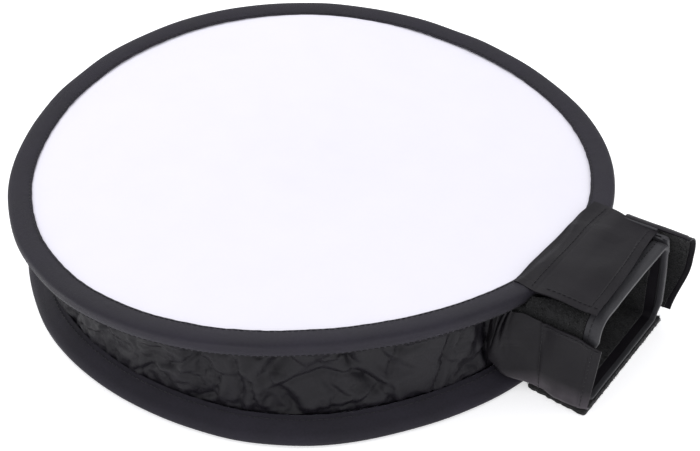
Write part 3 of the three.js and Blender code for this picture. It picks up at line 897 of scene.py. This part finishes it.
def patch(label, side, x0, x1, z0, z1, seed):
    """A rectangle of loop tape sewn on the sleeve's side."""
    x = np.linspace(x0, x1, 40)[:, None]
    corner = [(11 * t**2, ROOF - 11 * (1 - t) ** 2 + 0.8 * t) for t in np.linspace(0, 0.72, 8)]
    line = resample(np.array([(0, z0), *corner] if z1 > 40 else [(0, z0), (0, z1)]), 40)
    below_hoop = 46.0 + 9 * smoothstep(x, 144, 147.5)
    z = np.minimum(line[None, :, 1], below_hoop - 0.02 * (40 - np.arange(40))[None])
    bow = 0.25 * ripple(x, z, 22, seed)
    flare = 3.6 * (1 - smoothstep(x, 141, 155))
    grid = np.stack([x + 0 * z, side * (SLEEVE + 0.75 + bow - line[None, :, 0] + flare), z + 0 * x], -1)
    outer = 1 if side < 0 else -1
    loops = collapse(pile(f"{label}_patch_pile", grid, 1.3, PILE, seed + 1, side=outer, size=1.25))
    made = collapse(cloth(f"{label}_patch", grid, 0.5, PILE))
    stands_for(made, "black_pile", f"{label}_loop_patch")


def neck_sides():
    near_mid = [(129.6, -42.6), (131.8, -46.4), (134.2, -49.0), (138.5, -48.2), (145.5, -43.2),
                (WING_START, WING_SIDE)]
    near_top = [(129.5, -39.5), (133.0, -42.6), (137.5, -44.2), (141.5, -43.4), (147, -41.2),
                (WING_START, WING_SIDE + 0.3)]
    gusset(-1, "near", near_mid, near_top, 131)
    far_mid = [(x, -y) for x, y in near_mid[:-1]] + [(WING_START, SLEEVE + 0.8)]
    far_top = [(x, -y) for x, y in near_top[:-1]] + [(WING_START, SLEEVE + 0.6)]
    gusset(1, "far", far_mid, far_top, 141)
    patch("near", -1, 139.5, MOUTH - 4.3, 18, ROOF - 1, 151)
    patch("far", 1, WING_START + 0.6, MOUTH - 4.3, 8, 36, 161)


def floor_pad():
    """Thick loop pad under the neck: a crowned closed form with a fuzzy face and edge."""
    low, high = (np.array(v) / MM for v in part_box("floor_loop_pad"))
    root = low[0] - 6  # the pad is sewn on close to the rear hoop, and a little narrower there
    corners = [(root, low[1] + 3.5), (high[0] - 0.5, low[1]), (high[0] - 0.3, high[1]), (root, high[1] - 3.5)]
    loop = rounded_loop(corners, [2] * 4, 240)
    centre = loop.mean(0)
    section = spline([(0.0, 0.05), (0.6, 0.05), (0.965, 0.08), (0.995, 0.7), (1.0, 1.4),
                      (0.99, 2.2), (0.95, 2.75), (0.6, 2.85), (0.0, 2.85)], 31)
    share, height = section[None, :, :1], section[None, :, 1]
    flat = centre + (loop[:, None] - centre) * share
    fuzz = 0.18 * ripple(flat[..., 0], flat[..., 1], 3, 171) * (share[..., 0] > 0.9)
    grid = np.concatenate([flat + fuzz[..., None] * 0.6, (np.maximum(height + fuzz, 0.03))[..., None]], -1)
    grid[:, [0, -1], :2] = centre
    grid[:, 0, 2], grid[:, -1, 2] = 0.05, 2.85
    pad = new_object("floor_pad", grid.reshape(-1, 3), grid_faces(*grid.shape[:2], wrap_rows=True), PILE)
    weld(pad)
    rim = pile("floor_pad_pile", grid[:, 12:28], 1.2, PILE, 172, wrap=True, size=0.9)
    for piece in (pad, rim):
        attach(piece, "rear")
    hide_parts("floor_loop_pad")


# ---- top flap, far wing and near wing ----
def top_flap():
    """One cloth from the front binding to the mouth, with hems along its near and mouth edges."""
    rows, columns = 110, 120
    b = np.linspace(0, 1, columns)[None]
    a = np.linspace(0, 1, rows)[:, None]
    inner = SEAM - 2.8 + 1.4 * b + 1.6 * smoothstep(b, 0.8, 1.0)
    end = FLAP_END - 3.4 * smoothstep(b, 0.35, 1) - 0.4 * np.sin(math.pi * b)
    x = inner + (end - inner) * a
    near = -34.3 + 2.8 * (1 - smoothstep(x, 133, 150))
    far = 37.2 + 6.3 * (1 - smoothstep(x, 141, 163))
    y = near + (far - near) * b
    inside = 1 - smoothstep(np.hypot(x, y), SEAM, SEAM + 3.5)
    on_hoop = DEPTH + saddle(np.arctan2(y, x)) + 0.5 - 1.0 * inside
    beyond = FLAP_TOP - 0.4 + 0.5 * np.sin(math.pi * b) - 0.8 * smoothstep(x, 160, 180)
    z = on_hoop + (beyond - on_hoop) * smoothstep(x, 141, 157)
    near_edge, mouth_edge = (y - y[:, :1]), (x[-1:] - x)
    hem = 0.22 * (1 - smoothstep(near_edge, 3.6, 4.4)) + 0.25 * (1 - smoothstep(mouth_edge, 4.2, 5.0))
    seam = -0.1 * np.exp(-(((x - FLAP_FOLD + 0.6) / 0.6) ** 2))
    slack = 0.38 * ripple(x, y, 26, 181) + 0.3 * facets(x, y, 13, 182)
    droop = -0.5 * np.exp(-near_edge / 2.5)
    grid = np.stack([x, y, z + hem + seam + slack + droop], -1)
    flap = cloth("top_flap_sheet", grid, 0.8, SMOOTH_NYLON)
    stands_for(flap, "black_nylon", "flap_anchor", "top_flap_panel")
    normal = grid_normals(grid, False)
    hem_rows = {
        "near": (grid[40:-2, 6], normal[40:-2, 6]),
        "mouth": (grid[-12, 4:-4], normal[-12, 4:-4]),
    }
    for label, (path, ups) in hem_rows.items():
        row = stitching(f"top_flap_stitches_{label}", path + ups * 0.4, ups, 2.6, THREAD)
        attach(row, "top_flap")
    column = np.abs(grid[:, 60, 0] - FLAP_FOLD + 3.2).argmin()
    ups = normal[column, 2:-2]
    row = stitching("flap_anchor_stitches", grid[column, 2:-2] + ups * 0.4, ups, 2.6, THREAD)
    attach(row, "front")
    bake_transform(flap)

    low, high = (np.array(v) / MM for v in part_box("top_flap_hook"))
    low[1] += 2.4
    x = np.linspace(low[0], high[0], 24)[:, None]
    y = np.linspace(low[1], high[1], 22)[None]
    base = np.stack([x + 0 * y, y + 0 * x, high[2] - 0.4 + 0.1 * ripple(x, y, 12, 191)], -1)
    loops = pile("top_flap_hook_pile", base, 1.0, PILE, 192, side=-1, size=0.5)
    hook = cloth("top_flap_hook_tape", base, 0.5, PILE)
    for piece in (loops, hook):
        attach(piece, "top_flap")
    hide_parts("top_flap_hook")


FOLD_Y, FOLD_Z = sum(span("far_fold_hem", 1)) / 2, sum(span("far_fold_hem", 2)) / 2
WING_X0 = span("far_wing_panel", 0)[0]
WING_X1 = span("far_wing_panel", 0)[1]


def far_wing_curve(count, offset):
    """The far wing's section from its fold to its foot, in (y, z), moved outwards by offset."""
    t = np.linspace(0, 1, count)[:, None]
    a, b, c, d = (np.array(p) for p in ((0.8, 0.2), (11.5, 1.8), (19.0, -30.0), (6.6, -49.5)))
    curve = (1 - t) ** 3 * a + 3 * (1 - t) ** 2 * t * b + 3 * (1 - t) * t**2 * c + t**3 * d
    step = np.gradient(curve, axis=0)
    out = np.stack([-step[:, 1], step[:, 0]], -1)
    return curve + out / np.linalg.norm(out, axis=1, keepdims=True) * offset + (FOLD_Y, FOLD_Z)


def wing_strip(offset, inset, rows, columns, seed, skip=0.0):
    """The wing's grid: from the sleeve's side to its slanting mouth edge, and from the fold to the foot."""
    curve = far_wing_curve(columns + 8, offset)
    curve = resample(curve[int(skip * columns):], columns)
    down = np.linspace(0, 1, columns)[None]
    a = np.linspace(0, 1, rows)[:, None]
    end = WING_X1 - 2.3 * smoothstep(down, 0.1, 0.6) - 5.2 * smoothstep(down, 0.5, 1.0) - inset
    x = WING_X0 + inset + (end - WING_X0 - inset) * a
    y = curve[None, :, 0] + 0 * x
    z = curve[None, :, 1] + 0 * x
    flare = 0.9 * smoothstep(x, 176, 192) * np.sin(math.pi * down)
    slack = 0.35 * ripple(x, z, 24, seed) + 0.2 * facets(x, z, 12, seed + 1)
    return np.stack([x, y + (flare + slack) * smoothstep(down, 0, 0.08), z], -1)


def on_far_wing(piece):
    """Rides on the far wing, with a mesh of its own."""
    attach(piece, "far_wing")
    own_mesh(piece)
    return piece


def far_wing():
    grid = wing_strip(0, 0, 70, 90, 201)
    rim_x, rim_down = np.linspace(0, 1, 70)[:, None], np.linspace(0, 1, 90)[None]
    out = grid_normals(grid, False)
    hem = 0.3 * (smoothstep(rim_x, 0.90, 0.93) + smoothstep(rim_down, 0.93, 0.95))
    hemmed = grid - out * np.clip(hem, 0, 0.3)[..., None]
    wing = on_far_wing(cloth("far_wing_sheet", hemmed, 0.7, SMOOTH_NYLON))
    stands_for(wing, "black_nylon", "far_wing_panel")
    ups = -out[-8, 3:-4]
    row = on_far_wing(stitching("far_wing_stitches", grid[-8, 3:-4] + ups * 0.75, ups, 2.6, THREAD))

    inner = wing_strip(-0.85, 3.2, 60, 80, 201, 0.08)
    loops = on_far_wing(pile("far_wing_hook_pile", inner, 1.2, PILE, 212, side=-1))
    tape = on_far_wing(cloth("far_wing_hook_tape", inner, 0.5, PILE))
    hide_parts("far_wing_hook")

    turn = np.linspace(0, 2 * math.pi, 21)[:-1][:, None]
    x = np.linspace(WING_X0, FLAP_END - 4, 60)[None]
    radius = 0.55 + 0.06 * ripple(x, 3 * turn, 5, 221)
    roll = np.stack([x + 0 * turn, FOLD_Y + radius * np.cos(turn), FOLD_Z + radius * np.sin(turn)], -1)
    made = cloth("far_fold_roll", roll, 0.3, TRIM, wrap=True)
    stands_for(made, "grey_trim", "far_fold_hem")
    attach(made, "top_flap")


def near_wing():
    """The near wing: foot rolled under the neck, slanting stitched top edge, hemmed mouth edge."""
    rows, columns = 90, 110
    a, b = np.linspace(0, 1, rows)[:, None], np.linspace(0, 1, columns)[None]
    radius, under = 2.4, 0.16  # of the rolled foot, and the share of the cloth in it
    rise = np.clip((b - under) / (1 - under), 0, 1)
    end = WING_END + 1.2 * rise**2 - 2.2 * (1 - rise) ** 1.5
    x = WING_START + 0.15 + (end - WING_START - 0.15) * a
    head = 43.6 - 3.8 * smoothstep(x, WING_START + 18, WING_END + 1)
    turn = np.clip(1 - b / under, 0, 1) * math.pi / 2
    foot = WING_FOOT - 1.2
    z = foot + radius * (1 - np.sin(turn)) + (head - foot - radius) * rise
    belly = 0.7 * np.sin(math.pi * rise) ** 0.8 + 2.2 * np.exp(-rise * 5) * smoothstep(a, 0, 0.4)
    y = WING_SIDE - belly + radius * (1 - np.cos(turn)) + 1.3 * smoothstep(x, WING_END - 7, WING_END)
    mouth_edge, top_edge = end - x, head - z
    hem = 0.35 * (1 - smoothstep(mouth_edge, 4.6, 5.4)) + 0.3 * (1 - smoothstep(top_edge, 2.6, 3.2))
    slack = 0.35 * ripple(x, z, 21, 231) + 0.18 * facets(x, z, 11, 232)
    slack = slack * smoothstep(a, 0, 0.1)
    grid = np.stack([x, y - np.clip(hem, 0, 0.4) - slack, z], -1)
    wing = cloth("near_wing_sheet", grid, 0.7, WING_NYLON)
    stands_for(wing, "black_nylon", "near_wing_panel")
    normal = grid_normals(grid, False)
    lines = {
        "start": (grid[2, 10:-4], normal[2, 10:-4]),
        "top": (grid[4:-3, -5], normal[4:-3, -5]),
        "mouth": (grid[-13, 14:-5], normal[-13, 14:-5]),
    }
    rows_made = []
    for label, (path, ups) in lines.items():
        row = stitching(f"near_wing_stitches_{label}", path + ups * 0.35, ups, 2.4, THREAD)
        rows_made.append(row)
    low, high = (np.array(v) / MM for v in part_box("near_wing_hook"))
    hook_x = np.linspace(low[0], high[0], 26)[:, None]
    hook_z = np.linspace(low[2], high[2], 26)[None]
    hook_y = high[1] - 0.55 + 0.08 * ripple(hook_x, hook_z, 12, 241)
    base = np.stack(np.broadcast_arrays(hook_x, hook_y, hook_z), -1)
    tape = cloth("near_wing_hook_tape", base, 0.4, PILE)
    loops = pile("near_wing_hook_pile", base, 0.9, PILE, 242, side=-1, size=0.45)
    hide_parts("near_wing_hook")
    for piece in (wing, tape, loops, *rows_made):
        collapse(piece, "near_wing")


# ---- floor, light and camera ----
def stage():
    bpy.ops.mesh.primitive_plane_add(size=8, location=(0, 0, -0.0002))
    ground = bpy.context.object
    ground.name = "studio_floor"
    paper = Finish("studio_paper")
    tint = paper.blend(paper.noise(60), (0.88, 0.88, 0.89), (0.90, 0.90, 0.91))
    paper.join(tint, paper.shader.inputs["Base Color"])
    paper.shader.inputs["Roughness"].default_value = 0.9
    paper.shader.inputs["Emission Color"].default_value = (1, 1, 1, 1)
    paper.shader.inputs["Emission Strength"].default_value = 0.5  # a lit table, so that it stays white
    paper.gloss(0.1)
    ground.data.materials.append(paper.material)


def light(name, location, target, size, power):
    lamp = bpy.data.lights.new(name, "AREA")
    lamp.shape, lamp.size, lamp.energy = "DISK", size, power
    made = bpy.data.objects.new(name, lamp)
    made.location = location
    made.rotation_euler = (Vector(target) - Vector(location)).to_track_quat("-Z", "Y").to_euler()
    bpy.context.scene.collection.objects.link(made)


def studio():
    stage()
    world = bpy.data.worlds.new("studio_tent")
    world.use_nodes = True
    world.node_tree.nodes["Background"].inputs["Color"].default_value = (0.97, 0.975, 1.0, 1)
    world.node_tree.nodes["Background"].inputs["Strength"].default_value = 0.9
    bpy.context.scene.world = world
    light("key", (-0.9, 0.3, 1.5), (0, 0, 0), 1.0, 10)
    light("fill", (0.6, -1.3, 0.9), (0.05, -0.1, 0.02), 0.9, 3)
    bpy.context.scene.view_settings.view_transform = "Standard"


def camera():
    """A long lens from the near side of the neck, looking down at the softbox."""
    azimuth, elevation, roll = math.radians(33.3), math.radians(37.36), math.radians(-0.29)
    flat = math.cos(elevation)
    back = Vector((math.sin(azimuth) * flat, -math.cos(azimuth) * flat, math.sin(elevation)))
    right = Vector((math.cos(azimuth), math.sin(azimuth), 0))
    up = back.cross(right)
    turned = math.cos(roll) * right + math.sin(roll) * up
    upright = -math.sin(roll) * right + math.cos(roll) * up
    lens = bpy.data.cameras.new("camera")
    lens.sensor_width, lens.lens = 36, 91.49
    made = bpy.data.objects.new("camera", lens)
    bpy.context.scene.collection.objects.link(made)
    place = Matrix.Translation((0.41982, -0.60159, 0.57007))  # fitted, as the angles and the lens are
    made.matrix_world = place @ Matrix((turned, upright, back)).transposed().to_4x4()
    bpy.context.scene.camera = made


camera()
studio()
hoops()
round_sheets()
side_wall()
neck()
lip()
neck_sides()
floor_pad()
top_flap()
far_wing()
near_wing()
